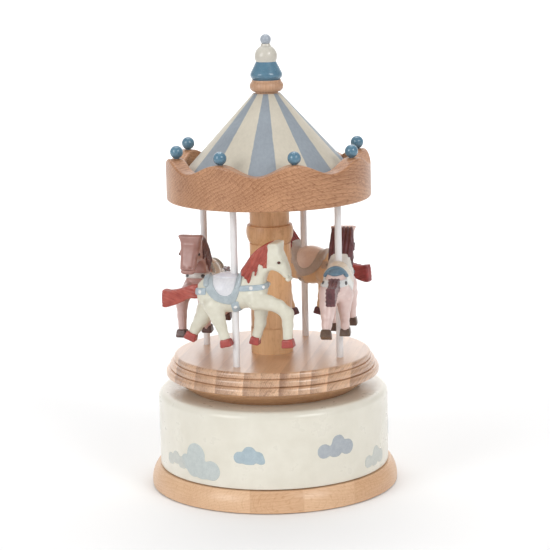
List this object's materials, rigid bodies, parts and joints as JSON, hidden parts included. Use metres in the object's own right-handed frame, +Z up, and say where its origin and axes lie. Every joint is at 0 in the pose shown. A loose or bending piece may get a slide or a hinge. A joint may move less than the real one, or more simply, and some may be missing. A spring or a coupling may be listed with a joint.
{
  "type": "wind-up carousel music box",
  "caption": "Wooden wind-up music box: a round case that turns on its base to wind, carrying a carousel of horses on poles below a striped cone roof.",
  "frame": {"origin": "on the turning axis, at table level under the foot pads", "axes": "+Z up along the turning axis; -Y towards the viewer's side of the case; +X to the right of it"},
  "size_m": [0.11, 0.11, 0.1994],
  "materials": {
    "felt": "grey pressed felt",
    "base_beech": "clear satin lacquer over pale beech",
    "turntable_beech": "clear satin lacquer over beech blocks glued edge to edge",
    "column_beech": "clear satin lacquer over beech",
    "roof_beech": "clear satin lacquer over beech with short flecks",
    "plain_beech": "unfinished beech",
    "bead_beech": "satin lacquer",
    "cream_lacquer": "gloss cream lacquer with small painted clouds",
    "striped_paint": "satin paint, blue-grey and cream stripes from foot to top",
    "blue_lacquer": "gloss blue lacquer",
    "bead_cream": "satin cream lacquer",
    "bead_grey_blue": "gloss grey-blue lacquer",
    "pole_white": "satin white paint",
    "white_horse_paint": "hand-painted cast resin, satin",
    "pink_horse_paint": "hand-painted cast resin, satin",
    "tan_horse_paint": "hand-painted cast resin, satin",
    "rose_horse_paint": "hand-painted cast resin, satin",
    "steel": "bright turned steel",
    "brass": "bright brass",
    "zinc": "die-cast zinc"
  },
  "bodies": {
    "base": {"foot_pads": "felt", "base_disc": "base_beech", "wind_flange": "steel", "wind_flange_screws": "steel", "winding_arbor": "steel", "base_felt_ring": "felt"},
    "case": {"case_drum": "cream_lacquer", "case_floor": "plain_beech", "case_floor_screws": "steel", "floor_bush": "brass", "spacer_disc": "plain_beech", "deck_bush": "brass", "felt_washer": "felt", "bedplate": "zinc", "bedplate_screws": "steel", "comb": "steel", "comb_screws": "brass", "end_bracket": "brass", "end_bracket_screws": "steel", "governor_bracket": "brass", "governor_screws": "steel"},
    "carousel": {"spring_barrel": "brass", "barrel_lid": "brass", "mainspring": "steel", "output_shaft": "steel", "turntable": "turntable_beech", "turntable_hub": "steel", "hub_screws": "steel", "column_lower": "column_beech", "column_upper": "column_beech", "column_rod": "steel", "column_nut": "steel", "pole_front": "pole_white", "pole_right": "pole_white", "pole_rear": "pole_white", "pole_left": "pole_white", "horse_front": "white_horse_paint", "horse_right": "pink_horse_paint", "horse_rear": "tan_horse_paint", "horse_left": "rose_horse_paint", "roof_ring": "roof_beech", "roof_board": "plain_beech", "roof_cone": "striped_paint", "crown_balls": "blue_lacquer", "finial_dowel": "plain_beech", "finial_wood_bead": "bead_beech", "finial_blue_bead": "blue_lacquer", "finial_cream_bead": "bead_cream", "finial_tip_ball": "bead_grey_blue"},
    "tune_roller": {"tune_cylinder": "brass", "tune_arbor": "steel", "tune_pinion": "brass", "tune_wheel": "brass"},
    "governor": {"governor_wheel": "brass", "governor_arbor": "steel"},
    "air_brake": {"worm": "steel", "fan": "brass"}
  },
  "joints": [
    {"name": "winding_turn", "type": "hinge", "parent": "base", "child": "case", "pos_m": [0, 0, 0.0096], "axis": [0, 0, 1], "continuous": true},
    {"name": "turntable_spin", "type": "hinge", "parent": "case", "child": "carousel", "pos_m": [0, 0, 0.0496], "axis": [0, 0, 1], "continuous": true},
    {"name": "cylinder_spin", "type": "hinge", "parent": "case", "child": "tune_roller", "pos_m": [0.027, 0, 0.026], "axis": [1, 0, 0], "continuous": true},
    {"name": "governor_spin", "type": "hinge", "parent": "case", "child": "governor", "pos_m": [0.028, -0.012, 0.026], "axis": [1, 0, 0], "continuous": true},
    {"name": "fan_spin", "type": "hinge", "parent": "case", "child": "air_brake", "pos_m": [0.028, -0.0178, 0.026], "axis": [0, 0, 1], "continuous": true}
  ],
  "couplings": [
    {"joint": "cylinder_spin", "follows": "turntable_spin", "ratio": 2},
    {"joint": "governor_spin", "follows": "turntable_spin", "ratio": -6},
    {"joint": "fan_spin", "follows": "turntable_spin", "ratio": -120}
  ]
}
